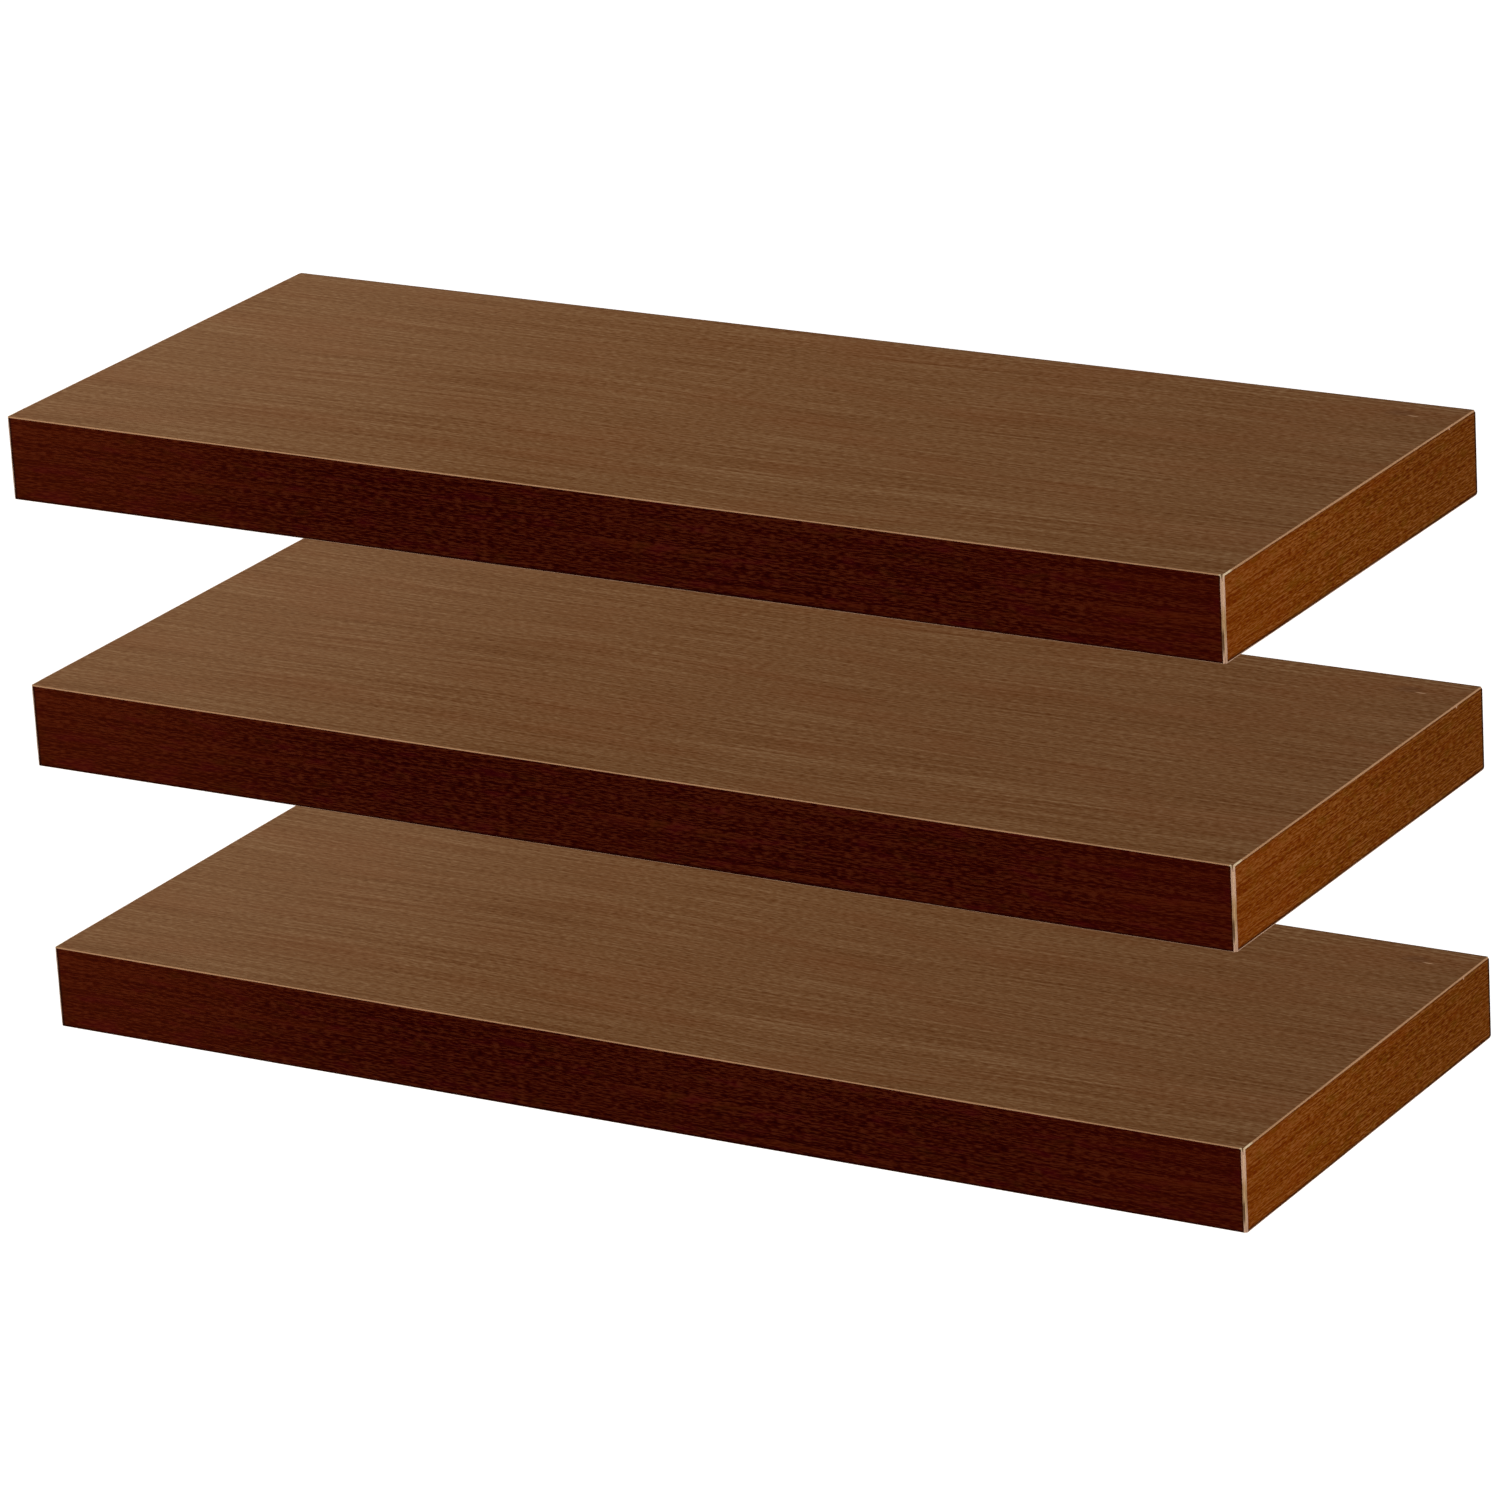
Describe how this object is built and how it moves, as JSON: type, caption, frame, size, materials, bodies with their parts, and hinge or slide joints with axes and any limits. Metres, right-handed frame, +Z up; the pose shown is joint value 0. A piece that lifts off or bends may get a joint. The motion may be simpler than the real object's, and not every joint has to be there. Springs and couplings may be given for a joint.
{
  "type": "floating wall shelf set",
  "caption": "Plain thick rectangular wall shelves one above the other, each a hollow wood-print board on hidden rods and a wall rail.",
  "frame": {"origin": "on the wall, at the middle of the back of the middle shelf's rail", "axes": "+X along the shelves, to the right seen from the room; +Y into the wall; +Z up, from the lower shelf to the upper one"},
  "size_m": [0.6, 0.235, 0.288],
  "materials": {
    "walnut_foil_board": "satin printed wood-grain foil on fibreboard",
    "mahogany_front_band": "satin dark red-brown wood-print edge band",
    "chestnut_end_band": "satin orange-brown wood-print edge band",
    "pine_batten": "sawn and planed softwood",
    "particleboard": "raw sawn particleboard",
    "kraft_paper": "uncoated kraft paper",
    "zinc_plated_steel": "bright zinc plate on folded sheet",
    "drawn_steel": "drawn bar, turned ends, weld bead at the foot"
  },
  "bodies": {
    "wall_brackets": {"upper_wall_rail": "zinc_plated_steel", "upper_left_rod": "drawn_steel", "upper_right_rod": "drawn_steel", "middle_wall_rail": "zinc_plated_steel", "middle_left_rod": "drawn_steel", "middle_right_rod": "drawn_steel", "lower_wall_rail": "zinc_plated_steel", "lower_left_rod": "drawn_steel", "lower_right_rod": "drawn_steel"},
    "upper_board": {"upper_top_panel": "walnut_foil_board", "upper_bottom_panel": "walnut_foil_board", "upper_front_band": "mahogany_front_band", "upper_left_band": "chestnut_end_band", "upper_right_band": "chestnut_end_band", "upper_front_batten": "pine_batten", "upper_back_batten": "pine_batten", "upper_left_batten": "pine_batten", "upper_right_batten": "pine_batten", "upper_left_rod_block": "particleboard", "upper_right_rod_block": "particleboard", "upper_honeycomb_core": "kraft_paper"},
    "middle_board": {"middle_top_panel": "walnut_foil_board", "middle_bottom_panel": "walnut_foil_board", "middle_front_band": "mahogany_front_band", "middle_left_band": "chestnut_end_band", "middle_right_band": "chestnut_end_band", "middle_front_batten": "pine_batten", "middle_back_batten": "pine_batten", "middle_left_batten": "pine_batten", "middle_right_batten": "pine_batten", "middle_left_rod_block": "particleboard", "middle_right_rod_block": "particleboard", "middle_honeycomb_core": "kraft_paper"},
    "lower_board": {"lower_top_panel": "walnut_foil_board", "lower_bottom_panel": "walnut_foil_board", "lower_front_band": "mahogany_front_band", "lower_left_band": "chestnut_end_band", "lower_right_band": "chestnut_end_band", "lower_front_batten": "pine_batten", "lower_back_batten": "pine_batten", "lower_left_batten": "pine_batten", "lower_right_batten": "pine_batten", "lower_left_rod_block": "particleboard", "lower_right_rod_block": "particleboard", "lower_honeycomb_core": "kraft_paper"}
  },
  "joints": [
    {"name": "upper_board_slide", "type": "slide", "parent": "wall_brackets", "child": "upper_board", "axis": [0, -1, 0], "range_m": [0, 0.13]},
    {"name": "middle_board_slide", "type": "slide", "parent": "wall_brackets", "child": "middle_board", "axis": [0, -1, 0], "range_m": [0, 0.13]},
    {"name": "lower_board_slide", "type": "slide", "parent": "wall_brackets", "child": "lower_board", "axis": [0, -1, 0], "range_m": [0, 0.13]}
  ]
}
